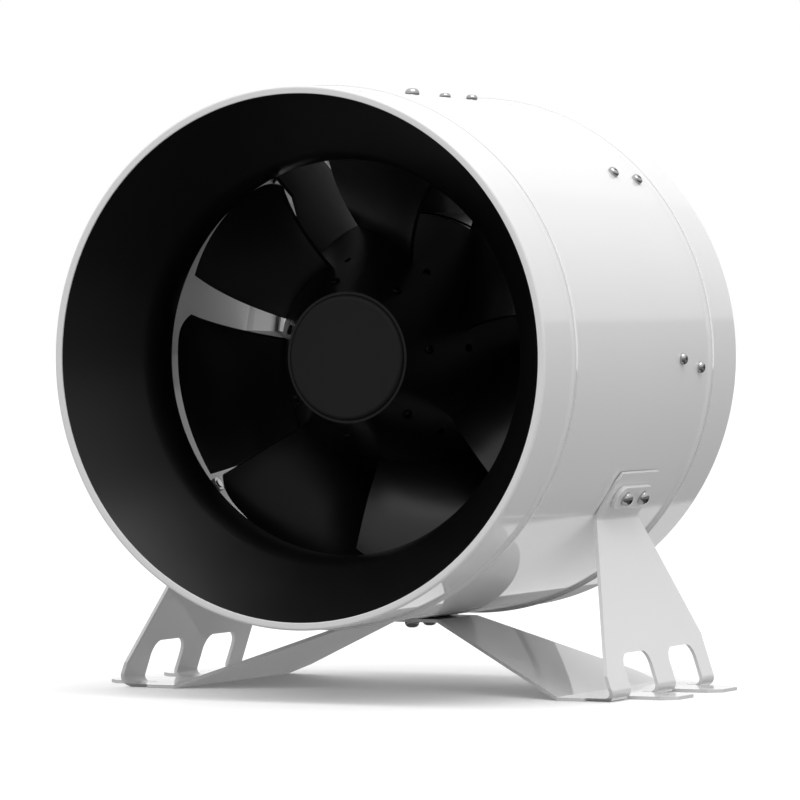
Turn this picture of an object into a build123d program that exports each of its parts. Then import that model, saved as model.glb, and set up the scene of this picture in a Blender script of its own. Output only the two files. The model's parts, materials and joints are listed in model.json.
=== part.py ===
"""Inline duct fan for 315 mm duct on a bent-sheet stand.

Frame: +Z up, +Y along the airflow from inlet to outlet, +X to the right of someone facing the inlet.
The origin is on the floor, below the middle of the casing.
"""
import os
from math import asin, atan2, cos, hypot, radians, sin

from build123d import *

os.makedirs("parts", exist_ok=True)

# ---- casing ----
AXIS_Z = 198.0          # height of the fan axis above the floor
CASING_LEN = 292.0
CASING_R = 156.0        # outside of the sheet
SHEET = 1.2
RIM_R = 151.4           # inner edge of the turned-in rims
RIM_DEPTH = 6.0
BEAD_Y = (39.4, 246.9)  # bead centres behind the inlet rim
BEAD_HALF = 7.0
BEAD_RISE = 1.7
Y0 = -CASING_LEN / 2    # inlet rim plane
INNER_R = CASING_R - SHEET

# ---- inlet nozzle ----
NOZZLE_T = 1.6
THROAT_R = 115.4
THROAT_Y = 65.0
THROAT_LIP = 5.0        # straight lip behind the throat
THROAT_BEND = 36.0

# ---- impeller ----
BLADES = 7
CONE_SLOPE = 0.543      # hub cone radius gained per mm of length
CONE_Y1 = 69.0
CONE_R1 = 38.4
CONE_Y2 = 156.0
HUB_END_Y = 158.5
HUB_WALL = 2.6
CAP_R = 36.6
BLADE_T = 2.2
LE_DEG = 15.9           # leading edge of the first blade at its root
TIP_LEAD = 3.0          # degrees the tip's leading edge is ahead of the root's
ROOT_WRAP = 45.4        # degrees from leading to trailing edge at the root
TIP_WRAP = 43.4
ROOT_Y = (109.2, 156.0)
TIP_Y = (81.7, 128.5)
TIP_R = (116.8, 138.4)
TIP_ROUND = 5.0         # how far the leading corner of the tip is rounded off
BOW_Y = 5.5             # how far the blade bows towards the inlet half way out
BOW_DEG = 0.8
HUB_SCREW_DEG = 5.7
HUB_SCREW_Y = 83.6
HUB_HOLE_Y = 109.0

# ---- guide vanes ----
VANES = 8
VANE_DEG = -1.4
VANE_T = 2.0
VANE_Y0 = 164.5         # front edge at the drum
VANE_Y1 = 191.0         # front edge at the casing
VANE_RAKE_R = 136.0     # where the raked part of the front edge ends
VANE_Y2 = 242.0
VANE_SCREW_Y = (204.0, 232.0)
VANE_SCREW_LEAN = 0.95  # degrees either side of the vane's own angle
HUB2_R = 86.5           # fixed hub behind the impeller
HUB2_WALL = 2.0
HUB2_Y1 = 161.0
HUB2_Y2 = 236.0
HUB2_STEP_R = 74.0      # sunk middle of its front, which carries the motor
TAIL_Y = 262.0

# ---- motor ----
SHAFT_R = 4.0
ROTOR_R = 44.0
CORE_R = 37.2
BEARING_R = 11.0
SLOTS = 12

# ---- speed-control board ----
BOARD_Y = 190.0

# ---- stand ----
PLATE = 2.0
STAND_Y = 172.0 + Y0    # middle of the stand
TAB_DEG = -31.0
TAB_HALF_H = 15.5
SCREW_PITCH = 25.0
FOOT_IN_X = 124.4
FOOT_OUT_X = 161.7
EAR_X = 185.5
EAR_Y = 34.5
EAR_HALF = 18.5
ARCH_HALF = 21.0
ARCH_H = 26.5
EAR_HOLE_X = 171.5
EAR_HOLE_R = 3.5

FAN_AXIS = Axis((0, 0, AXIS_Z), (0, 1, 0))


def at(y, r):
    """Point of a turned profile: y behind the inlet rim, r from the fan axis."""
    return (Y0 + y, AXIS_Z + r)


def cone_r(y):
    """Outside radius of the impeller hub cone."""
    return CONE_R1 + (y - CONE_Y1) * CONE_SLOPE


def polar(r, deg, y):
    """Point in space at radius r and angle deg round the fan axis."""
    return Vector(r * cos(radians(deg)), Y0 + y, AXIS_Z + r * sin(radians(deg)))


def radial_plane(r, deg, y):
    """Plane facing outwards at a point round the axis, its x along +Y."""
    outward = Vector(cos(radians(deg)), 0, sin(radians(deg)))
    return Plane(origin=polar(r, deg, y), x_dir=(0, 1, 0), z_dir=outward)


def cone_plane(y, deg):
    """Plane on the hub cone's surface, facing out along the cone's normal."""
    lean = atan2(CONE_SLOPE, 1)
    normal = Vector(cos(lean) * cos(radians(deg)), -sin(lean), cos(lean) * sin(radians(deg)))
    return Plane(origin=polar(cone_r(y), deg, y), x_dir=(-sin(radians(deg)), 0, cos(radians(deg))),
                 z_dir=normal)


def turn(*points, mode=Mode.ADD):
    """Revolve a closed profile of (y, r) corners round the fan axis."""
    with BuildSketch(Plane.YZ) as profile:
        with BuildLine():
            Polyline(*[at(y, r) for y, r in points], close=True)
        make_face()
    revolve(profile.sketch, axis=FAN_AXIS, mode=mode)


# ---- fastener shapes, copied into place further down ----
# small pan-head screw with a cross recess, head sitting on z = 0
with BuildPart() as small_screw:
    Cylinder(3.5, 2.9, align=(Align.CENTER, Align.CENTER, Align.MIN))
    fillet(small_screw.edges().sort_by(Axis.Z)[-1], radius=1.9)
    with BuildSketch(Plane.XY.offset(1.5)):
        Rectangle(3.6, 0.9)
        Rectangle(0.9, 3.6)
    extrude(amount=3, mode=Mode.SUBTRACT)
    Cylinder(1.75, 7.4, align=(Align.CENTER, Align.CENTER, Align.MAX))

# larger domed screw with a hexagon socket
with BuildPart() as large_screw:
    Cylinder(4.4, 4.2, align=(Align.CENTER, Align.CENTER, Align.MIN))
    fillet(large_screw.edges().sort_by(Axis.Z)[-1], radius=3.1)
    with BuildSketch(Plane.XY.offset(1.9)):
        RegularPolygon(1.75, 6)
    extrude(amount=4, mode=Mode.SUBTRACT)
    Cylinder(2.5, 11.0, align=(Align.CENTER, Align.CENTER, Align.MAX))

# cone screw of the impeller
with BuildPart() as cone_screw:
    Cylinder(2.9, 1.9, align=(Align.CENTER, Align.CENTER, Align.MIN))
    fillet(cone_screw.edges().sort_by(Axis.Z)[-1], radius=1.2)
    with BuildSketch(Plane.XY.offset(0.9)):
        Rectangle(3.0, 0.8)
        Rectangle(0.8, 3.0)
    extrude(amount=3, mode=Mode.SUBTRACT)
    Cylinder(1.7, 6.0, align=(Align.CENTER, Align.CENTER, Align.MAX))


# the outer skin: rolled sheet with two stiffening beads and turned-in rims
with BuildPart() as casing_tube:
    with BuildSketch(Plane.YZ):
        with BuildLine():
            Polyline(at(RIM_DEPTH, RIM_R), at(0, RIM_R), at(0, CASING_R - 1.6))
            ThreePointArc(at(0, CASING_R - 1.6), at(0.47, CASING_R - 0.47), at(1.6, CASING_R))
            y = 1.6
            for bead in BEAD_Y:
                Line(at(y, CASING_R), at(bead - BEAD_HALF, CASING_R))
                ThreePointArc(at(bead - BEAD_HALF, CASING_R), at(bead, CASING_R + BEAD_RISE),
                              at(bead + BEAD_HALF, CASING_R))
                y = bead + BEAD_HALF
            Line(at(y, CASING_R), at(CASING_LEN - 1.6, CASING_R))
            ThreePointArc(at(CASING_LEN - 1.6, CASING_R), at(CASING_LEN - 0.47, CASING_R - 0.47),
                          at(CASING_LEN, CASING_R - 1.6))
            Polyline(at(CASING_LEN, CASING_R - 1.6), at(CASING_LEN, RIM_R),
                     at(CASING_LEN - RIM_DEPTH, RIM_R), at(CASING_LEN - RIM_DEPTH, RIM_R + SHEET),
                     at(CASING_LEN - SHEET, RIM_R + SHEET), at(CASING_LEN - SHEET, INNER_R))
            y = CASING_LEN - SHEET
            for bead in reversed(BEAD_Y):
                Line(at(y, INNER_R), at(bead + BEAD_HALF, INNER_R))
                ThreePointArc(at(bead + BEAD_HALF, INNER_R), at(bead, INNER_R + BEAD_RISE),
                              at(bead - BEAD_HALF, INNER_R))
                y = bead - BEAD_HALF
            Polyline(at(y, INNER_R), at(SHEET, INNER_R), at(SHEET, RIM_R + SHEET),
                     at(RIM_DEPTH, RIM_R + SHEET), at(RIM_DEPTH, RIM_R))
        make_face()
    revolve(axis=FAN_AXIS)
    # clearance holes for the vane screws
    for k in range(VANES):
        for y, lean in zip(VANE_SCREW_Y, (VANE_SCREW_LEAN, -VANE_SCREW_LEAN)):
            with BuildSketch(radial_plane(CASING_R - 5, VANE_DEG + 45 * k + lean, y)):
                Circle(2.0)
            extrude(amount=8, mode=Mode.SUBTRACT)
    # holes for the stand screws and the earth screw
    for deg in (TAB_DEG, -90, 180 - TAB_DEG):
        for dy in (-SCREW_PITCH / 2, SCREW_PITCH / 2):
            with BuildSketch(radial_plane(CASING_R - 5, deg, STAND_Y - Y0 + dy)):
                Circle(2.75)
            extrude(amount=8, mode=Mode.SUBTRACT)
    with BuildSketch(radial_plane(CASING_R - 5, 90, STAND_Y - Y0 - SCREW_PITCH / 2)):
        Circle(2.75)
    extrude(amount=8, mode=Mode.SUBTRACT)
casing_tube.part.label = "casing_tube"

# bell-mouth nozzle held in the front rim
with BuildPart() as inlet_nozzle:
    rim_front = 1.0
    centre = (THROAT_Y, THROAT_R + THROAT_BEND)
    # slope of the straight cone that runs tangent into the throat's bend
    reach = hypot(THROAT_Y - rim_front, centre[1] - RIM_R)
    tilt = asin(THROAT_BEND / reach) + atan2(RIM_R - centre[1], THROAT_Y - rim_front)

    def bend(radius, angle):
        return at(centre[0] - radius * sin(angle), centre[1] - radius * cos(angle))

    back_bend = THROAT_BEND - NOZZLE_T
    lip_y = THROAT_Y + THROAT_LIP
    rim_back = rim_front + NOZZLE_T / sin(tilt)
    with BuildSketch(Plane.YZ):
        with BuildLine():
            Line(at(rim_front, RIM_R), bend(THROAT_BEND, tilt))
            ThreePointArc(bend(THROAT_BEND, tilt), bend(THROAT_BEND, tilt / 2), bend(THROAT_BEND, 0))
            Line(bend(THROAT_BEND, 0), at(lip_y, THROAT_R))
            ThreePointArc(at(lip_y, THROAT_R), at(lip_y + NOZZLE_T / 2, THROAT_R + NOZZLE_T / 2),
                          at(lip_y, THROAT_R + NOZZLE_T))
            Line(at(lip_y, THROAT_R + NOZZLE_T), bend(back_bend, 0))
            ThreePointArc(bend(back_bend, 0), bend(back_bend, tilt / 2), bend(back_bend, tilt))
            Line(bend(back_bend, tilt), at(rim_back, RIM_R))
            Line(at(rim_back, RIM_R), at(rim_front, RIM_R))
        make_face()
    revolve(axis=FAN_AXIS)
inlet_nozzle.part.label = "inlet_nozzle"

# ---- impeller ----
# flat cap over the hub's nose
with BuildPart() as hub_cap:
    turn((66.9, 0), (66.9, CAP_R), (72.0, CAP_R), (72.0, 0))
    fillet(hub_cap.edges().sort_by(Axis.Y)[0], radius=2.4)
hub_cap.part.label = "hub_cap"

# moulded hub cone with an inner sleeve on the motor's rotor
with BuildPart() as impeller_hub:
    wall = HUB_WALL * hypot(1, CONE_SLOPE)
    turn((CONE_Y1, CAP_R + 0.3), (CONE_Y1, CONE_R1), (CONE_Y2, cone_r(CONE_Y2)),
         (HUB_END_Y, cone_r(CONE_Y2)), (HUB_END_Y, cone_r(CONE_Y2) - HUB_WALL),
         (CONE_Y2 + 1, cone_r(CONE_Y2) - wall), (79.0, cone_r(79.0) - wall), (75.0, 28.0),
         (75.0, 12.0), (72.0, 12.0), (72.0, CAP_R + 0.3))
    # sleeve that grips the rotor cup
    turn((85.0, ROTOR_R), (85.0, ROTOR_R + 1.6), (118.0, ROTOR_R + 1.6), (118.0, ROTOR_R))
    for k in range(BLADES):
        deg = HUB_SCREW_DEG + k * 360 / BLADES
        with BuildSketch(cone_plane(HUB_HOLE_Y, deg - 0.5).offset(-6)):
            Circle(2.4)
        extrude(amount=8, mode=Mode.SUBTRACT)
        with BuildSketch(cone_plane(HUB_SCREW_Y, deg).offset(-6)):
            Circle(1.7)
        extrude(amount=8, mode=Mode.SUBTRACT)
impeller_hub.part.label = "impeller_hub"

# seven twisted blades, swept forward at the tip, each grown from the hub cone
with BuildPart() as impeller_blades:
    for k in range(BLADES):
        turned = k * 360 / BLADES
        rows = []
        for u in (0, 0.02, 0.05, 0.09, 0.15, 0.25, 0.37, 0.5, 0.62, 0.75, 0.88, 1):
            # the blade is steeper at its leading edge than at its trailing edge
            y_root = ROOT_Y[0] + (ROOT_Y[1] - ROOT_Y[0]) * (u - 0.16 * u * (1 - u))
            y_tip = TIP_Y[0] + (TIP_Y[1] - TIP_Y[0]) * (u - 0.16 * u * (1 - u))
            root_deg = LE_DEG + ROOT_WRAP * (u + 0.31 * u * (1 - u)) + turned
            tip_deg = LE_DEG - TIP_LEAD + TIP_WRAP * (u + 0.22 * u * (1 - u)) + turned
            r_root = cone_r(y_root) - 1.2
            r_tip = TIP_R[0] + (TIP_R[1] - TIP_R[0]) * u - TIP_ROUND * max(0, 1 - u / 0.15) ** 2.4
            row = []
            for j in range(8):
                v = j / 7
                bow = 4 * v * (1 - v)
                root = polar(r_root, root_deg + BOW_DEG * bow, y_root - BOW_Y * bow)
                tip = polar(r_tip, tip_deg + BOW_DEG * bow, y_tip - BOW_Y * bow)
                row.append(root + (tip - root) * v)
            rows.append(row)
        thicken(Face.make_surface_from_array_of_points(rows), amount=BLADE_T / 2, both=True)
    # the roots end on the cone's surface
    turn((60.0, 0), (60.0, cone_r(60.0)), (CONE_Y2, cone_r(CONE_Y2)), (170.0, cone_r(CONE_Y2)),
         (170.0, 0), mode=Mode.SUBTRACT)
impeller_blades.part.label = "impeller_blades"

# screws that hold the cone to the rotor's ring
with BuildPart() as hub_screws:
    for k in range(BLADES):
        with Locations(cone_plane(HUB_SCREW_Y, HUB_SCREW_DEG + k * 360 / BLADES)):
            add(cone_screw.part)
hub_screws.part.label = "hub_screws"

# ---- motor, outer-rotor type inside the impeller hub ----
# steel cup that carries the magnets and turns the impeller
with BuildPart() as rotor_cup:
    turn((90.0, SHAFT_R), (90.0, ROTOR_R), (146.0, ROTOR_R), (146.0, ROTOR_R - 2), (93.0, ROTOR_R - 2),
         (93.0, 8.0), (97.0, 8.0), (97.0, SHAFT_R))
rotor_cup.part.label = "rotor_cup"

# ten magnet segments bonded inside the cup
with BuildPart() as rotor_magnets:
    turn((98.0, 38.2), (98.0, ROTOR_R - 2), (138.0, ROTOR_R - 2), (138.0, 38.2))
    for k in range(10):
        with BuildSketch(Plane.XZ.offset(-(Y0 + 90))):
            with Locations((0, AXIS_Z)):
                with PolarLocations(40, 1, start_angle=36 * k):
                    Rectangle(10, 1.0)
        extrude(amount=-60, mode=Mode.SUBTRACT)
rotor_magnets.part.label = "rotor_magnets"

with BuildPart() as motor_shaft:
    turn((77.0, 0), (77.0, SHAFT_R), (151.0, SHAFT_R), (151.0, 0))
    chamfer(motor_shaft.edges().filter_by(GeomType.CIRCLE), length=0.6)
motor_shaft.part.label = "motor_shaft"

# cast flange with the bearing tube
with BuildPart() as motor_flange:
    turn((98.0, BEARING_R), (98.0, 13.0), (148.0, 13.0), (152.0, 17.0), (152.0, 52.0), (157.0, 52.0),
         (157.0, 6.0), (155.0, 6.0), (155.0, BEARING_R), (141.0, BEARING_R), (141.0, 9.0),
         (106.0, 9.0), (106.0, BEARING_R))
    with BuildSketch(Plane.XZ.offset(-(Y0 + 150))):
        with Locations((0, AXIS_Z)):
            with PolarLocations(44, 4, start_angle=45):
                Circle(2.6)
    extrude(amount=-10, mode=Mode.SUBTRACT)
motor_flange.part.label = "motor_flange"

# the two ball bearings, each a ring with sunk shields
for name, front in (("bearing_front", 99.0), ("bearing_rear", 141.0)):
    with BuildPart() as bearing:
        turn((front, SHAFT_R + 0.03), (front, 5.8), (front + 0.6, 5.8), (front + 0.6, 9.2), (front, 9.2),
             (front, BEARING_R), (front + 7, BEARING_R), (front + 7, 9.2), (front + 6.4, 9.2),
             (front + 6.4, 5.8), (front + 7, 5.8), (front + 7, SHAFT_R + 0.03))
    bearing.part.label = name
    export_step(bearing.part, "parts/" + name + ".step")

# laminated core with twelve teeth
with BuildPart() as stator_core:
    with BuildSketch(Plane.XZ.offset(-(Y0 + 102))):
        with Locations((0, AXIS_Z)):
            Circle(19.0)
            with PolarLocations(27, SLOTS):
                Rectangle(18, 5)
            with BuildSketch(mode=Mode.PRIVATE) as rim:
                Circle(CORE_R)
                Circle(CORE_R - 2.6, mode=Mode.SUBTRACT)
                with PolarLocations(CORE_R - 1.5, SLOTS, start_angle=180 / SLOTS):
                    Rectangle(6, 4.6, mode=Mode.SUBTRACT)
            add(rim.sketch)
            Circle(13.0, mode=Mode.SUBTRACT)
    extrude(amount=-32)
stator_core.part.label = "stator_core"

# one copper coil on each tooth
with BuildPart() as motor_windings:
    with BuildSketch(Plane.XZ.offset(-(Y0 + 98.5))):
        with Locations((0, AXIS_Z)):
            with PolarLocations(27.2, SLOTS):
                Rectangle(13.0, 9.0)
    extrude(amount=-39)
    with BuildSketch(Plane.XZ.offset(-(Y0 + 102))):
        with Locations((0, AXIS_Z)):
            with PolarLocations(27, SLOTS):
                Rectangle(16, 5)
    extrude(amount=-32, mode=Mode.SUBTRACT)
motor_windings.part.label = "motor_windings"

# ---- fixed hub and guide vanes behind the impeller ----
with BuildPart() as stator_hub:
    turn((157.0, 20.0), (157.0, HUB2_STEP_R), (HUB2_Y1, HUB2_STEP_R), (HUB2_Y1, HUB2_R),
         (HUB2_Y2, HUB2_R), (HUB2_Y2, HUB2_R - HUB2_WALL), (HUB2_Y1 + 2, HUB2_R - HUB2_WALL),
         (HUB2_Y1 + 2, HUB2_STEP_R - 2), (160.0, HUB2_STEP_R - 2), (160.0, 20.0))
    with BuildSketch(Plane.XZ.offset(-(Y0 + 155))):
        with Locations((0, AXIS_Z)):
            with PolarLocations(44, 4, start_angle=45):
                Circle(2.6)
            with PolarLocations(58, 4, start_angle=0):
                Circle(1.75)
    extrude(amount=-8, mode=Mode.SUBTRACT)
    for k in range(4):
        with BuildSketch(radial_plane(HUB2_R - 5, VANE_DEG + 22.5 + 90 * k, 231.5)):
            Circle(2.0)
        extrude(amount=8, mode=Mode.SUBTRACT)
stator_hub.part.label = "stator_hub"

# pressed tail cover that closes the drum
with BuildPart() as tail_cover:
    inside = HUB2_R - HUB2_WALL
    turn((226.0, inside - 1.5), (226.0, inside), (HUB2_Y2, inside), (HUB2_Y2, HUB2_R), (240.0, HUB2_R - 1),
         (TAIL_Y - 4, 58.0), (TAIL_Y, 50.0), (TAIL_Y, 0), (TAIL_Y - 1.5, 0), (TAIL_Y - 1.5, 49.0),
         (TAIL_Y - 5.2, 56.6), (238.6, inside - 1.5))
    for k in range(4):
        with BuildSketch(radial_plane(HUB2_R - 5, VANE_DEG + 22.5 + 90 * k, 231.5)):
            Circle(1.75)
        extrude(amount=8, mode=Mode.SUBTRACT)
tail_cover.part.label = "tail_cover"

# eight curved sheet vanes, each with a foot screwed to the casing
with BuildPart() as guide_vanes:
    mid = sum(VANE_SCREW_Y) / 2
    for k in range(VANES):
        deg = VANE_DEG + 45 * k
        with BuildSketch(radial_plane(0, deg, mid)):
            with BuildLine() as camber:
                # seen along the radius: inclined at the front, along the axis at the rear
                ThreePointArc((VANE_Y0 - mid, 17.0), (-10.0, -4.6), (VANE_Y2 - mid, -10.5))
            trace(camber.line, VANE_T)
        extrude(amount=INNER_R + 2)
        with BuildSketch(radial_plane(140, deg, mid)):
            with Locations((0, -1)):
                RectangleRounded(42, 14, 3, rotation=-10.5)
        extrude(amount=20)
        # room below the foot, so that only its last two millimetres stay
        with BuildSketch(radial_plane(140, deg, mid)):
            with Locations((0, -1)):
                RectangleRounded(44, 16, 3, rotation=-10.5)
            trace(camber.line, VANE_T, mode=Mode.SUBTRACT)
        extrude(amount=INNER_R - VANE_T - 140, mode=Mode.SUBTRACT)
        for y, lean in zip(VANE_SCREW_Y, (VANE_SCREW_LEAN, -VANE_SCREW_LEAN)):
            with BuildSketch(radial_plane(CASING_R - 8, deg + lean, y)):
                Circle(1.9)
            extrude(amount=10, mode=Mode.SUBTRACT)
    # the sheet ends on the drum and on the casing
    turn((150.0, 0), (150.0, HUB2_R), (260.0, HUB2_R), (260.0, 0), mode=Mode.SUBTRACT)
    # the front edge is raked back on its way out to the casing
    turn((150.0, HUB2_R - 1), (VANE_Y0, HUB2_R - 1), (VANE_Y1, VANE_RAKE_R), (VANE_Y1, INNER_R + 1),
         (150.0, INNER_R + 1), mode=Mode.SUBTRACT)
    turn((150.0, INNER_R), (150.0, 190.0), (260.0, 190.0), (260.0, INNER_R), mode=Mode.SUBTRACT)
guide_vanes.part.label = "guide_vanes"

# nuts, their flat face on z = 0 and the body below it
with BuildPart() as small_nut:
    with BuildSketch():
        RegularPolygon(3.0, 6, major_radius=False)
        Circle(1.75, mode=Mode.SUBTRACT)
    extrude(amount=-2.4)

with BuildPart() as large_nut:
    with BuildSketch():
        RegularPolygon(4.0, 6, major_radius=False)
        Circle(2.5, mode=Mode.SUBTRACT)
    extrude(amount=-4.0)

with BuildPart() as vane_screws:
    for k in range(VANES):
        for y, lean in zip(VANE_SCREW_Y, (VANE_SCREW_LEAN, -VANE_SCREW_LEAN)):
            with Locations(radial_plane(CASING_R, VANE_DEG + 45 * k + lean, y)):
                add(small_screw.part)
vane_screws.part.label = "vane_screws"

with BuildPart() as vane_nuts:
    for k in range(VANES):
        for y, lean in zip(VANE_SCREW_Y, (VANE_SCREW_LEAN, -VANE_SCREW_LEAN)):
            with Locations(radial_plane(INNER_R - VANE_T - 0.06, VANE_DEG + 45 * k + lean, y)):
                add(small_nut.part)
vane_nuts.part.label = "vane_nuts"

# four screws through the drum's front plate into the motor flange
with BuildPart() as motor_screws:
    for k in range(4):
        spot = polar(44, 45 + 90 * k, 160.0)
        with Locations(Plane(origin=spot, x_dir=(1, 0, 0), z_dir=(0, 1, 0))):
            Cylinder(4.4, 3.2, align=(Align.CENTER, Align.CENTER, Align.MIN))
            Cylinder(2.5, 8.0, align=(Align.CENTER, Align.CENTER, Align.MAX))
motor_screws.part.label = "motor_screws"

with BuildPart() as tail_screws:
    for k in range(4):
        with Locations(radial_plane(HUB2_R, VANE_DEG + 22.5 + 90 * k, 231.5)):
            add(small_screw.part)
tail_screws.part.label = "tail_screws"

# ---- speed-control board inside the fixed hub ----
with BuildPart() as board_standoffs:
    with BuildSketch(Plane.XZ.offset(-(Y0 + 160))):
        with Locations((0, AXIS_Z)):
            with PolarLocations(58, 4):
                RegularPolygon(3.0, 6, major_radius=False)
    extrude(amount=-(BOARD_Y - 160))
    with BuildSketch(Plane.XZ.offset(-(Y0 + 157))):
        with Locations((0, AXIS_Z)):
            with PolarLocations(58, 4):
                Circle(1.7)
    extrude(amount=-(BOARD_Y + 1.6 - 157))
board_standoffs.part.label = "board_standoffs"

with BuildPart() as driver_board:
    turn((BOARD_Y, 0), (BOARD_Y, 66.0), (BOARD_Y + 1.6, 66.0), (BOARD_Y + 1.6, 0))
    with BuildSketch(Plane.XZ.offset(-(Y0 + BOARD_Y - 1))):
        with Locations((0, AXIS_Z)):
            Circle(8)
            with PolarLocations(58, 4):
                Circle(1.75)
    extrude(amount=-4, mode=Mode.SUBTRACT)
driver_board.part.label = "driver_board"

with BuildPart() as board_screws:
    with BuildSketch(Plane.XZ.offset(-(Y0 + BOARD_Y + 1.6))):
        with Locations((0, AXIS_Z)):
            with PolarLocations(58, 4):
                Circle(2.9)
    extrude(amount=-2.0)
board_screws.part.label = "board_screws"

with BuildPart() as board_capacitors:
    with BuildSketch(Plane.XZ.offset(-(Y0 + BOARD_Y + 1.6))):
        with Locations((-24, AXIS_Z + 22), (-2, AXIS_Z + 30)):
            Circle(9)
    extrude(amount=-28)
    fillet(board_capacitors.edges().group_by(Axis.Y)[-1], radius=1.2)
board_capacitors.part.label = "board_capacitors"

# toroid choke standing on the board
with BuildPart() as board_choke:
    with BuildSketch(Plane.XZ.offset(-(Y0 + BOARD_Y + 1.6))):
        with Locations((30, AXIS_Z - 16)):
            Circle(14)
            Circle(6, mode=Mode.SUBTRACT)
    extrude(amount=-11)
    fillet(board_choke.edges().group_by(Axis.Y)[-1], radius=3)
board_choke.part.label = "board_choke"

# finned cooler of the power stage
with BuildPart() as board_cooler:
    with BuildSketch(Plane.XZ.offset(-(Y0 + BOARD_Y + 1.6))):
        with Locations((-18, AXIS_Z - 26)):
            Rectangle(46, 20)
            with GridLocations(46, 4.4, 1, 4):
                Rectangle(40, 2.2, mode=Mode.SUBTRACT)
    extrude(amount=-18)
board_cooler.part.label = "board_cooler"

# ---- stand: one bent sheet, W-shaped seen along the airflow ----
MID_R = CASING_R + PLATE / 2    # middle of the sheet where it lies on the casing
with BuildPart() as stand_bracket:
    tab = radians(TAB_DEG)
    tab_top = (MID_R * cos(tab) - TAB_HALF_H * sin(tab), AXIS_Z + MID_R * sin(tab) + TAB_HALF_H * cos(tab))
    tab_fold = (MID_R * cos(tab) + TAB_HALF_H * sin(tab), AXIS_Z + MID_R * sin(tab) - TAB_HALF_H * cos(tab))
    half = [tab_top, tab_fold, (FOOT_OUT_X - 1.4, PLATE / 2), (FOOT_IN_X + 0.2, PLATE / 2),
            (23.8, AXIS_Z - MID_R)]
    with BuildSketch(Plane.XZ):
        with BuildLine() as sheet:
            FilletPolyline(*half, *[(-x, z) for x, z in reversed(half)], radius=4.5)
        trace(sheet.line, PLATE)
    extrude(amount=100, both=True)

    # plan outline of the middle tab, the sloping arms and the feet
    plan = [(0, 28.0), (23.5, 28.0), (FOOT_IN_X, 82.2), (142.0, 83.0)]
    with BuildPart(mode=Mode.PRIVATE) as keep_inner:
        for reach, height in ((142.0, 12.0), (110.0, 70.0)):
            with BuildSketch(Plane.XY.offset(-1)) as outline:
                with BuildLine():
                    Polyline(*[(x, STAND_Y + y) for x, y in plan],
                             *[(x, STAND_Y - y) for x, y in reversed(plan)], close=True)
                make_face()
                mirror(about=Plane.YZ)
                with Locations((0, STAND_Y)):
                    Rectangle(2 * reach, 300, mode=Mode.INTERSECT)
            extrude(outline.sketch, amount=height + 1)
    # side outline of the outer plates and their tabs, with two arches
    side = [(76.0, -1), (81.5, 2.5), (84.0, 8.0), (84.0, 15.0), (31.1, 104.0), (29.5, 126.0),
            (24.5, 134.0)]
    with BuildPart(mode=Mode.PRIVATE) as keep_outer:
        for near, low in ((142.0, -1.0), (110.0, 12.0)):
            with BuildSketch(Plane.YZ) as outline:
                with BuildLine():
                    Polyline(*[(STAND_Y - y, z) for y, z in side],
                             *[(STAND_Y + y, z) for y, z in reversed(side)], close=True)
                make_face()
                with Locations((STAND_Y, low + 100)):
                    Rectangle(300, 200, mode=Mode.INTERSECT)
            extrude(outline.sketch.moved(Location((near, 0, 0))), amount=80)
        with BuildSketch(Plane.YZ) as arches:
            with Locations((STAND_Y - EAR_Y, ARCH_H / 2 - 20), (STAND_Y + EAR_Y, ARCH_H / 2 - 20)):
                RectangleRounded(2 * ARCH_HALF, ARCH_H + 40, 9)
        extrude(arches.sketch.moved(Location((150.0, 0, 0))), amount=60, mode=Mode.SUBTRACT)
        mirror(about=Plane.YZ)
    add(keep_inner.part + keep_outer.part, mode=Mode.INTERSECT)

    # ears left flat on the floor where the arches were cut
    with BuildSketch() as ears:
        for side_x in (-1, 1):
            for ear_y in (STAND_Y - EAR_Y, STAND_Y + EAR_Y):
                with BuildLine():
                    Polyline((side_x * 146, ear_y - EAR_HALF), (side_x * (EAR_X - 7), ear_y - EAR_HALF),
                             (side_x * EAR_X, ear_y - EAR_HALF + 7), (side_x * EAR_X, ear_y + EAR_HALF - 7),
                             (side_x * (EAR_X - 7), ear_y + EAR_HALF), (side_x * 146, ear_y + EAR_HALF),
                             close=True)
                make_face()
        with Locations((0, STAND_Y)):
            with GridLocations(2 * EAR_HOLE_X, 2 * EAR_Y, 2, 2):
                Circle(EAR_HOLE_R, mode=Mode.SUBTRACT)
    extrude(amount=PLATE)

    # screw holes in the three tabs
    for deg in (TAB_DEG, -90, 180 - TAB_DEG):
        for dy in (-SCREW_PITCH / 2, SCREW_PITCH / 2):
            with BuildSketch(radial_plane(CASING_R - 4, deg, STAND_Y - Y0 + dy)):
                Circle(2.75)
            extrude(amount=10, mode=Mode.SUBTRACT)
stand_bracket.part.label = "stand_bracket"

# spreader plates under the side screws
with BuildPart() as spreader_plates:
    for deg in (TAB_DEG, 180 - TAB_DEG):
        with BuildSketch(radial_plane(CASING_R + PLATE, deg, STAND_Y - Y0)):
            RectangleRounded(48, 15, 7)
            with GridLocations(SCREW_PITCH, 0, 2, 1):
                Circle(2.75, mode=Mode.SUBTRACT)
        extrude(amount=3)
    fillet(spreader_plates.edges().filter_by(lambda e: e.length > 20), radius=0.6)
spreader_plates.part.label = "spreader_plates"

with BuildPart() as stand_screws:
    for deg, seat in ((TAB_DEG, PLATE + 3), (-90, PLATE), (180 - TAB_DEG, PLATE + 3)):
        for dy in (-SCREW_PITCH / 2, SCREW_PITCH / 2):
            with Locations(radial_plane(CASING_R + seat, deg, STAND_Y - Y0 + dy)):
                add(large_screw.part)
stand_screws.part.label = "stand_screws"

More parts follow.
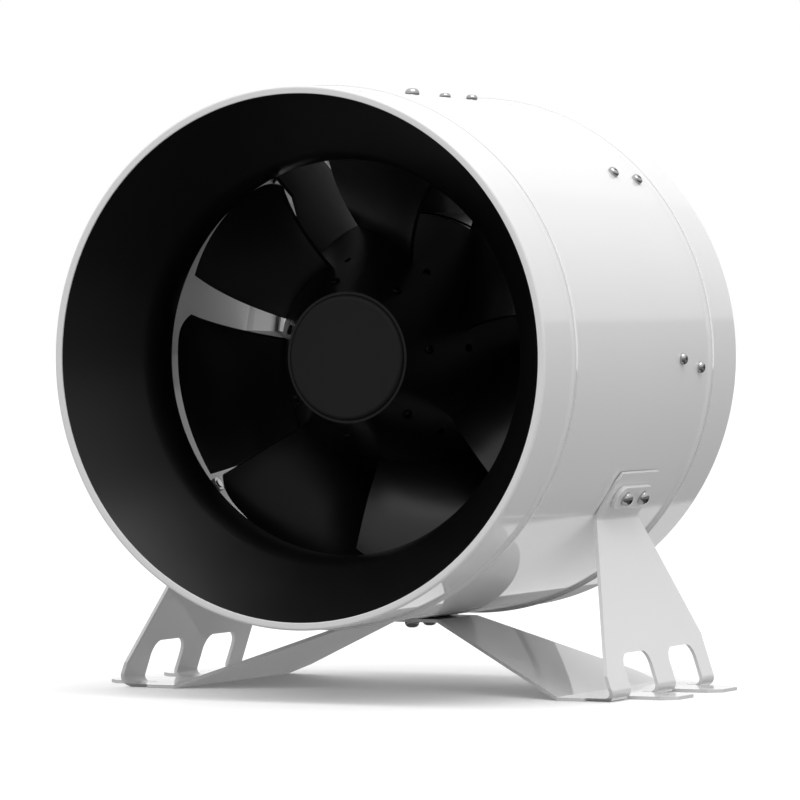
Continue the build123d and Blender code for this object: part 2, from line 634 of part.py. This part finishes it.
with BuildPart() as stand_nuts:
    for deg in (TAB_DEG, -90, 180 - TAB_DEG):
        for dy in (-SCREW_PITCH / 2, SCREW_PITCH / 2):
            with Locations(radial_plane(INNER_R - 0.1, deg, STAND_Y - Y0 + dy)):
                add(large_nut.part)
stand_nuts.part.label = "stand_nuts"

# earthing screw on top of the casing
with BuildPart() as earth_screw:
    with Locations(radial_plane(CASING_R, 90, STAND_Y - Y0 - SCREW_PITCH / 2)):
        add(large_screw.part)
earth_screw.part.label = "earth_screw"

with BuildPart() as earth_nut:
    with Locations(radial_plane(INNER_R - 0.1, 90, STAND_Y - Y0 - SCREW_PITCH / 2)):
        add(large_nut.part)
earth_nut.part.label = "earth_nut"

pieces = (casing_tube, inlet_nozzle, hub_cap, impeller_hub, impeller_blades, hub_screws, rotor_cup,
          rotor_magnets, motor_shaft, motor_flange, stator_core, motor_windings, stator_hub, tail_cover,
          guide_vanes, vane_screws, vane_nuts, motor_screws, tail_screws, board_standoffs, driver_board,
          board_screws, board_capacitors, board_choke, board_cooler, stand_bracket, spreader_plates,
          stand_screws, stand_nuts, earth_screw, earth_nut)
for piece in pieces:
    export_step(piece.part, "parts/" + piece.part.label + ".step")
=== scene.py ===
import json
import math

import bpy
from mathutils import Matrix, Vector


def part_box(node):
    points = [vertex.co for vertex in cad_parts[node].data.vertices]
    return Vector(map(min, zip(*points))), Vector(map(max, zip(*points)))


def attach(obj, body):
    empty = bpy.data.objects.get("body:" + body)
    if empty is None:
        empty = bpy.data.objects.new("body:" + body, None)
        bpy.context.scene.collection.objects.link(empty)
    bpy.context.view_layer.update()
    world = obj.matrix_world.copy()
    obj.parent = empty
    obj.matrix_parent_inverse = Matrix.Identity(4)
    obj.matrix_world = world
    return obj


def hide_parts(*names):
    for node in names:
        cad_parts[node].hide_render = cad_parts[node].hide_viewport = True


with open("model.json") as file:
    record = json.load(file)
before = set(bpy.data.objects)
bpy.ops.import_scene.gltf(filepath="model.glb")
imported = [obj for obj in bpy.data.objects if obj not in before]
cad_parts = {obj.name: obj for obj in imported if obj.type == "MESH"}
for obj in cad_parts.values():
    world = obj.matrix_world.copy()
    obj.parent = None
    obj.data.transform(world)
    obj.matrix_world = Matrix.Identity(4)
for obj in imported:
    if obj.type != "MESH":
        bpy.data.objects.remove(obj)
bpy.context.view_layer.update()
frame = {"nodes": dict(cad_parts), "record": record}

record = frame["record"]
nodes = frame["nodes"]

# ---------------------------------------------------------------- driving sizes, in metres
# y is measured behind the inlet rim unless a name says otherwise
MM = 0.001
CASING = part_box("casing_tube")
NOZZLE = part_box("inlet_nozzle")
AXIS_Z = (CASING[0][2] + CASING[1][2]) / 2
INLET_Y = CASING[0][1]      # in the frame
LENGTH = CASING[1][1] - INLET_Y
BEAD_RISE = 1.7 * MM
CASING_R = (CASING[1][2] - CASING[0][2]) / 2 - BEAD_RISE
SHEET = 1.2 * MM
RIM_R = (NOZZLE[1][2] - NOZZLE[0][2]) / 2
RIM_DEPTH = 6 * MM          # how far the rim's sheet is turned in
RIM_ROUND = 1.6 * MM        # rounding of the rim's outer corner
LIP_ROUND = 0.5 * MM        # rounding of its inner corner
BEADS = (39.4 * MM, 246.9 * MM)     # middles of the two stiffening beads
BEAD_FRONT = 3.5 * MM       # length of the bead's front face
BEAD_REAR = 7.5 * MM        # and of its rear slope
REAR_HOLLOW = 1.5           # how hollow the rear slope is, 1 is straight
BEAD_STEPS = 12
CREST_BACK = 1 * MM         # from the bead's middle back to its crest
THROAT_R = 115.4 * MM
THROAT_Y = 65 * MM
THROAT_LIP = 5 * MM         # straight length behind the throat's bend
THROAT_BEND = 36 * MM
NOZZLE_T = 1.6 * MM         # thickness of the nozzle's wall
RIM_STEPS = 8               # steps of the roundings in a profile
LIP_STEPS = 4
THROAT_STEPS = 20
EDGE_STEPS = 6
AROUND = 288                # steps round a turned piece
LONG_RUN = 2 * MM           # a straight run over this gets support rings
SUPPORT = 0.25 * MM         # distance of a support ring from the end of its run
SHARP = math.radians(20)    # edges turned more than this stay crisp
SOFT_EDGES = {"stand_bracket": 0.35 * MM, "spreader_plates": 0.3 * MM, "guide_vanes": 0.25 * MM,
              "impeller_blades": 0.5 * MM}
SOFT_EDGE_FROM = math.radians(40)

# ---------------------------------------------------------------- studio
CAMERA_AT = (1.3954, -2.9948, 0.2229)
CAMERA_YAW = math.radians(25.01)
CAMERA_PITCH = math.radians(-0.88)
LENS = 249.65
AWAY = (-math.sin(CAMERA_YAW), math.cos(CAMERA_YAW), 0)

FLOOR_SIZE = 60
FLOOR_SEEN = 0.9            # tone of the paper as the camera sees it
FLOOR_BOUNCE = 0.40         # what it sends back up on to the fan
FLOOR_LIFT = 0.12           # glow that keeps its shadows pale

SKY = 1.2                   # bright studio ceiling
LOW_SKY = 0.75              # its lowest part
HORIZON = 0.28              # dark band round the room
GROUND = 0.1                # what shiny surfaces see below them
# (height of the direction, level), from 0 straight down to 1 straight up
BANDS = ((0.0, GROUND), (0.285, GROUND), (0.30, HORIZON), (0.549, HORIZON), (0.556, LOW_SKY),
         (1.0, SKY))
BACKDROP = 1.0              # pale wall behind the fan, as a round glow
BACKDROP_EDGE = 0.797       # cosine of the glow's half angle
BACKDROP_BLUR = 0.004
BACKDROP_FOOT = -0.03       # the glow ends at the floor, by the height of the direction
PAPER_EDGE = -0.28          # and starts again on the lit paper close behind the fan

KEY_AT = (0.5, -0.4, 2.4)
KEY_TARGET = (0, 0, 0.2)
KEY_SIZE = (1.8, 1.8)
KEY_POWER = 25


# ---------------------------------------------------------------- material nodes
def new_material(name):
    mat = bpy.data.materials.new(name)
    mat.use_nodes = True
    tree = mat.node_tree
    shader = next(n for n in tree.nodes if n.type == "BSDF_PRINCIPLED")
    return mat, tree, shader


def object_coords(tree, scale=(1, 1, 1)):
    coords = tree.nodes.new("ShaderNodeTexCoord")
    mapping = tree.nodes.new("ShaderNodeMapping")
    mapping.inputs["Scale"].default_value = scale
    tree.links.new(coords.outputs["Object"], mapping.inputs["Vector"])
    return mapping.outputs["Vector"]


def noise(tree, vector, scale, detail):
    node = tree.nodes.new("ShaderNodeTexNoise")
    node.inputs["Scale"].default_value = scale
    node.inputs["Detail"].default_value = detail
    tree.links.new(vector, node.inputs["Vector"])
    return node.outputs["Fac"]


def ramp(tree, fac, low, high, stops=(0.0, 1.0)):
    node = tree.nodes.new("ShaderNodeValToRGB")
    node.color_ramp.elements[0].position = stops[0]
    node.color_ramp.elements[1].position = stops[1]
    node.color_ramp.elements[0].color = (*low, 1)
    node.color_ramp.elements[1].color = (*high, 1)
    tree.links.new(fac, node.inputs["Fac"])
    return node.outputs["Color"]


def span(tree, fac, low, high):
    node = tree.nodes.new("ShaderNodeMapRange")
    node.inputs["To Min"].default_value = low
    node.inputs["To Max"].default_value = high
    tree.links.new(fac, node.inputs["Value"])
    return node.outputs["Result"]


def bump(tree, shader, height, strength, distance):
    node = tree.nodes.new("ShaderNodeBump")
    node.inputs["Strength"].default_value = strength
    node.inputs["Distance"].default_value = distance
    tree.links.new(height, node.inputs["Height"])
    tree.links.new(node.outputs["Normal"], shader.inputs["Normal"])


# ---------------------------------------------------------------- finishes
def painted(name, color, dark, rough, gloss, coat_rough=0.02, base_gloss=0.3, peel=0.03):
    """Stove-enamelled sheet: faint tone drift, very fine orange peel, clear gloss on top."""
    mat, tree, shader = new_material(name)
    coords = object_coords(tree)
    drift = noise(tree, coords, scale=7, detail=3)
    tree.links.new(ramp(tree, drift, dark, color, stops=(0.3, 0.7)), shader.inputs["Base Color"])
    haze = noise(tree, coords, scale=40, detail=3)
    tree.links.new(span(tree, haze, rough * 0.9, rough * 1.1), shader.inputs["Roughness"])
    shader.inputs["Specular IOR Level"].default_value = base_gloss
    shader.inputs["Coat Weight"].default_value = gloss
    shader.inputs["Coat Roughness"].default_value = coat_rough
    bump(tree, shader, noise(tree, coords, scale=160, detail=1), peel, distance=0.0002)
    return mat


def moulded(name, color, dark, rough, gloss=0.25):
    """Moulded plastic with a fine spark-eroded grain."""
    mat, tree, shader = new_material(name)
    coords = object_coords(tree)
    drift = noise(tree, coords, scale=22, detail=4)
    tree.links.new(ramp(tree, drift, dark, color, stops=(0.3, 0.75)), shader.inputs["Base Color"])
    haze = noise(tree, coords, scale=60, detail=3)
    tree.links.new(span(tree, haze, rough * 0.88, rough * 1.12), shader.inputs["Roughness"])
    shader.inputs["Specular IOR Level"].default_value = gloss
    bump(tree, shader, noise(tree, coords, scale=700, detail=2), strength=0.05, distance=0.0002)
    return mat


def metal(name, color, dark, rough, stretch=(1, 1, 1), grain_scale=300, grain=0.05):
    """Bare metal with fine marks, drawn out along the low-scale direction."""
    mat, tree, shader = new_material(name)
    coords = object_coords(tree, stretch)
    marks = noise(tree, coords, scale=grain_scale * 0.5, detail=4)
    tree.links.new(ramp(tree, marks, dark, color, stops=(0.3, 0.7)), shader.inputs["Base Color"])
    haze = noise(tree, coords, scale=grain_scale, detail=4)
    tree.links.new(span(tree, haze, rough * 0.7, rough * 1.4), shader.inputs["Roughness"])
    shader.inputs["Metallic"].default_value = 1.0
    bump(tree, shader, noise(tree, coords, scale=grain_scale * 2, detail=2), grain, distance=0.0001)
    return mat


MATERIALS = {
    "white_paint": painted("white_paint", (0.80, 0.80, 0.80), (0.785, 0.785, 0.787),
                           rough=0.4, gloss=1.0),
    "nozzle_black": painted("nozzle_black", (0.0012, 0.0012, 0.0013), (0.001, 0.001, 0.0011),
                            rough=0.34, gloss=0.0, base_gloss=0.4, peel=0.05),
    "impeller_black": moulded("impeller_black", (0.0014, 0.0014, 0.0015), (0.001, 0.001, 0.0011),
                              rough=0.3, gloss=0.42),
    "cap_grey": moulded("cap_grey", (0.0155, 0.0155, 0.0158), (0.0135, 0.0135, 0.0138),
                        rough=0.5, gloss=0.15),
    "vane_black": painted("vane_black", (0.0022, 0.0022, 0.0023), (0.0017, 0.0017, 0.0018),
                          rough=0.3, gloss=0.25, coat_rough=0.08),
    "black_steel": metal("black_steel", (0.012, 0.012, 0.013), (0.007, 0.007, 0.0075), rough=0.45),
    "chrome": metal("chrome", (0.5, 0.505, 0.51), (0.4, 0.405, 0.41), rough=0.05, grain=0.02),
    "zinc": metal("zinc", (0.42, 0.425, 0.44), (0.3, 0.305, 0.315), rough=0.22),
    "steel": metal("steel", (0.5, 0.5, 0.52), (0.38, 0.38, 0.4),
                   rough=0.3, stretch=(1, 0.05, 1), grain_scale=500, grain=0.1),
    "magnet": moulded("magnet", (0.05, 0.05, 0.055), (0.03, 0.03, 0.033), rough=0.5),
    "cast_alu": metal("cast_alu", (0.66, 0.67, 0.69), (0.52, 0.53, 0.55),
                      rough=0.42, grain_scale=700, grain=0.3),
    "lamination": metal("lamination", (0.34, 0.34, 0.36), (0.16, 0.16, 0.17),
                        rough=0.4, stretch=(0.02, 1, 0.02), grain_scale=1500, grain=0.4),
    "copper": metal("copper", (0.72, 0.32, 0.14), (0.5, 0.2, 0.08),
                    rough=0.25, stretch=(1, 0.03, 1), grain_scale=1400, grain=0.4),
    "brass": metal("brass", (0.78, 0.58, 0.26), (0.62, 0.45, 0.2), rough=0.24),
    "board_green": moulded("board_green", (0.02, 0.14, 0.06), (0.008, 0.06, 0.03),
                           rough=0.25, gloss=0.5),
    "capacitor": moulded("capacitor", (0.02, 0.025, 0.07), (0.015, 0.02, 0.05), rough=0.3, gloss=0.5),
    "choke": moulded("choke", (0.06, 0.2, 0.1), (0.03, 0.1, 0.05), rough=0.45, gloss=0.5),
}

for part in record["subparts"]:
    node = nodes[part["node"]]
    node.data.materials.clear()
    node.data.materials.append(MATERIALS[part["material_slot"]])
    for face in node.data.polygons:
        face.material_index = 0


# ---------------------------------------------------------------- turned pieces
def arc(centre_y, centre_r, radius, start, end, steps):
    """Points of a circular arc in a turned profile, angles in degrees from the +Y side."""
    angles = [math.radians(start + (end - start) * k / steps) for k in range(steps + 1)]
    return [(centre_y + radius * math.cos(a), centre_r + radius * math.sin(a)) for a in angles]


def bead(centre_y, base_r, inwards=False):
    """Raised stiffening bead from front to back: a hollow face up to a crisp crest, a soft slope down."""
    crest_y = centre_y + CREST_BACK
    shares = [k / BEAD_STEPS for k in range(BEAD_STEPS + 1)]
    turns = [math.pi / 2 * share for share in shares]
    points = [(crest_y - BEAD_FRONT * (1 - math.sin(a)), base_r + BEAD_RISE * (1 - math.cos(a)))
              for a in turns]
    points += [(crest_y + BEAD_REAR * share, base_r + BEAD_RISE * (1 - share) ** REAR_HOLLOW)
               for share in shares[1:]]
    return points[::-1] if inwards else points


def supported(profile):
    """Extra points just inside the ends of each long straight run, so that it shades flat."""
    points = []
    for start, end in zip(profile, profile[1:] + profile[:1]):
        points.append(start)
        run = math.dist(start, end)
        if run > LONG_RUN:
            for share in (SUPPORT / run, 1 - SUPPORT / run):
                points.append(tuple(a + (b - a) * share for a, b in zip(start, end)))
    return points


def lathe(name, profile, slot, body, replaced):
    """Closed (y, r) profile, y behind the inlet rim, turned round the fan axis."""
    profile = supported(profile)
    count = len(profile)
    verts = []
    for step in range(AROUND):
        a = 2 * math.pi * step / AROUND
        for y, r in profile:
            verts.append((r * math.cos(a), INLET_Y + y, AXIS_Z + r * math.sin(a)))
    faces = []
    for step in range(AROUND):
        here = step * count
        there = (step + 1) % AROUND * count
        for k in range(count):
            after = (k + 1) % count
            faces.append((here + k, here + after, there + after, there + k))
    mesh = bpy.data.meshes.new(name)
    mesh.from_pydata(verts, [], faces)
    mesh.materials.append(MATERIALS[slot])
    mesh.shade_smooth()
    mesh.set_sharp_from_angle(angle=SHARP)
    piece = bpy.data.objects.new(name, mesh)
    bpy.context.scene.collection.objects.link(piece)
    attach(piece, body)
    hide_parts(replaced)


def casing_profile():
    """Sheet tube with turned-in rims: the outside from front to back, then the inside."""
    inner = CASING_R - SHEET
    back = LENGTH
    points = [(RIM_DEPTH, RIM_R)]
    points += arc(LIP_ROUND, RIM_R + LIP_ROUND, LIP_ROUND, 270, 180, LIP_STEPS)
    points += arc(RIM_ROUND, CASING_R - RIM_ROUND, RIM_ROUND, 180, 90, RIM_STEPS)
    for y in BEADS:
        points += bead(y, CASING_R)
    points += arc(back - RIM_ROUND, CASING_R - RIM_ROUND, RIM_ROUND, 90, 0, RIM_STEPS)
    points += arc(back - LIP_ROUND, RIM_R + LIP_ROUND, LIP_ROUND, 0, -90, LIP_STEPS)
    points += [(back - RIM_DEPTH, RIM_R), (back - RIM_DEPTH, RIM_R + SHEET),
               (back - SHEET, RIM_R + SHEET), (back - SHEET, inner)]
    for y in reversed(BEADS):
        points += bead(y, inner, inwards=True)
    points += [(SHEET, inner), (SHEET, RIM_R + SHEET), (RIM_DEPTH, RIM_R + SHEET)]
    return points


def nozzle_profile():
    """Bell mouth: a cone tangent to the throat's bend, a short straight lip, and back outside."""
    front = NOZZLE[0][1] - INLET_Y
    centre_y, centre_r = THROAT_Y, THROAT_R + THROAT_BEND
    reach = math.hypot(THROAT_Y - front, centre_r - RIM_R)
    tilt = math.degrees(math.asin(THROAT_BEND / reach)
                        + math.atan2(RIM_R - centre_r, THROAT_Y - front))
    lip = THROAT_Y + THROAT_LIP
    points = [(front, RIM_R)]
    points += arc(centre_y, centre_r, THROAT_BEND, 270 - tilt, 270, THROAT_STEPS)
    points += arc(lip, THROAT_R + NOZZLE_T / 2, NOZZLE_T / 2, -90, 90, EDGE_STEPS)
    points += arc(centre_y, centre_r, THROAT_BEND - NOZZLE_T, 270, 270 - tilt, THROAT_STEPS)
    points += [(front + NOZZLE_T / math.sin(math.radians(tilt)), RIM_R)]
    return points


lathe("casing_skin", casing_profile(), "white_paint", "casing", "casing_tube")
lathe("nozzle_shell", nozzle_profile(), "nozzle_black", "casing", "inlet_nozzle")

# ---------------------------------------------------------------- soft edges on sheet metal and blades
for name, width in SOFT_EDGES.items():
    edge = nodes[name].modifiers.new("soft edge", "BEVEL")
    edge.width = width
    edge.segments = 2
    edge.limit_method = "ANGLE"
    edge.angle_limit = SOFT_EDGE_FROM
    edge.harden_normals = True


# ---------------------------------------------------------------- stage, room, light and camera
def paper_floor():
    """White paper that shows soft shadows, sends a grey bounce up and isn't seen in reflections."""
    bpy.ops.mesh.primitive_plane_add(size=FLOOR_SIZE, location=(0, 0, 0))
    floor = bpy.context.object
    floor.name = "floor"
    mat, tree, shader = new_material("floor")
    seen = tree.nodes.new("ShaderNodeLightPath").outputs["Is Camera Ray"]
    tree.links.new(ramp(tree, seen, (FLOOR_BOUNCE,) * 3, (FLOOR_SEEN,) * 3), shader.inputs["Base Color"])
    tree.links.new(span(tree, seen, 0.0, FLOOR_LIFT), shader.inputs["Emission Strength"])
    shader.inputs["Roughness"].default_value = 0.6
    shader.inputs["Specular IOR Level"].default_value = 0.1
    shader.inputs["Emission Color"].default_value = (1, 1, 1, 1)
    floor.data.materials.append(mat)
    floor.visible_glossy = False


def calculate(tree, operation, first, second):
    """Output of a math node; second is a number or a socket."""
    node = tree.nodes.new("ShaderNodeMath")
    node.operation = operation
    tree.links.new(first, node.inputs[0])
    if isinstance(second, (int, float)):
        node.inputs[1].default_value = second
    else:
        tree.links.new(second, node.inputs[1])
    return node.outputs["Value"]


def height_bands(tree, upward):
    """Brightness of the room by the height of the direction, from straight down to straight up."""
    height = tree.nodes.new("ShaderNodeMapRange")
    height.inputs["From Min"].default_value = -1
    tree.links.new(upward, height.inputs["Value"])
    bands = tree.nodes.new("ShaderNodeValToRGB")
    steps = bands.color_ramp.elements
    steps[0].position, steps[1].position = BANDS[0][0], BANDS[-1][0]
    for position, _ in BANDS[1:-1]:
        steps.new(position)
    for step, (_, level) in zip(steps, BANDS):
        step.color = (level, level, level, 1)
    tree.links.new(height.outputs["Result"], bands.inputs["Fac"])
    return bands.outputs["Color"]


def backdrop_share(tree, direction, upward):
    """1 towards the pale wall behind the fan and the lit paper at its foot, 0 elsewhere."""
    facing = tree.nodes.new("ShaderNodeVectorMath")
    facing.operation = "DOT_PRODUCT"
    facing.inputs[1].default_value = AWAY
    tree.links.new(direction, facing.inputs[0])
    glow = tree.nodes.new("ShaderNodeMapRange")
    glow.inputs["From Min"].default_value = BACKDROP_EDGE - BACKDROP_BLUR
    glow.inputs["From Max"].default_value = BACKDROP_EDGE + BACKDROP_BLUR
    tree.links.new(facing.outputs["Value"], glow.inputs["Value"])
    wall = calculate(tree, "GREATER_THAN", upward, BACKDROP_FOOT)
    paper = calculate(tree, "LESS_THAN", upward, PAPER_EDGE)
    either = calculate(tree, "MAXIMUM", wall, paper)
    return calculate(tree, "MULTIPLY", glow.outputs["Result"], either)


def studio_world():
    """Plain white to the camera; to the fan a bright ceiling, a dark band and a pale backdrop."""
    world = bpy.data.worlds.new("studio")
    bpy.context.scene.world = world
    world.use_nodes = True
    tree = world.node_tree
    tree.nodes.clear()
    direction = tree.nodes.new("ShaderNodeTexCoord").outputs["Generated"]
    split = tree.nodes.new("ShaderNodeSeparateXYZ")
    tree.links.new(direction, split.inputs["Vector"])
    upward = split.outputs["Z"]
    walls = tree.nodes.new("ShaderNodeMix")
    walls.data_type = "RGBA"
    walls.inputs["B"].default_value = (BACKDROP, BACKDROP, BACKDROP, 1)
    tree.links.new(backdrop_share(tree, direction, upward), walls.inputs["Factor"])
    tree.links.new(height_bands(tree, upward), walls.inputs["A"])
    room = tree.nodes.new("ShaderNodeBackground")
    tree.links.new(walls.outputs["Result"], room.inputs["Color"])
    plain = tree.nodes.new("ShaderNodeBackground")
    plain.inputs["Color"].default_value = (1, 1, 1, 1)
    choose = tree.nodes.new("ShaderNodeMixShader")
    rays = tree.nodes.new("ShaderNodeLightPath")
    tree.links.new(rays.outputs["Is Camera Ray"], choose.inputs["Fac"])
    tree.links.new(room.outputs["Background"], choose.inputs[1])
    tree.links.new(plain.outputs["Background"], choose.inputs[2])
    output = tree.nodes.new("ShaderNodeOutputWorld")
    tree.links.new(choose.outputs["Shader"], output.inputs["Surface"])


def softbox(name, at, target, size, power):
    """Soft rectangular light, turned to its target."""
    data = bpy.data.lights.new(name, "AREA")
    data.shape = "RECTANGLE"
    data.size, data.size_y = size
    data.energy = power
    light = bpy.data.objects.new(name, data)
    bpy.context.scene.collection.objects.link(light)
    light.location = at
    light.rotation_euler = (Vector(target) - Vector(at)).to_track_quat("-Z", "Y").to_euler()


def front_camera():
    """View of the inlet from the front right, through a long lens."""
    data = bpy.data.cameras.new("camera")
    data.lens = LENS
    data.sensor_width = 36
    data.clip_end = 100
    camera = bpy.data.objects.new("camera", data)
    bpy.context.scene.collection.objects.link(camera)
    camera.location = CAMERA_AT
    camera.rotation_euler = (math.radians(90) + CAMERA_PITCH, 0, CAMERA_YAW)
    bpy.context.scene.camera = camera


paper_floor()
studio_world()
softbox("key", KEY_AT, KEY_TARGET, KEY_SIZE, KEY_POWER)
front_camera()
bpy.context.scene.view_settings.view_transform = "Standard"
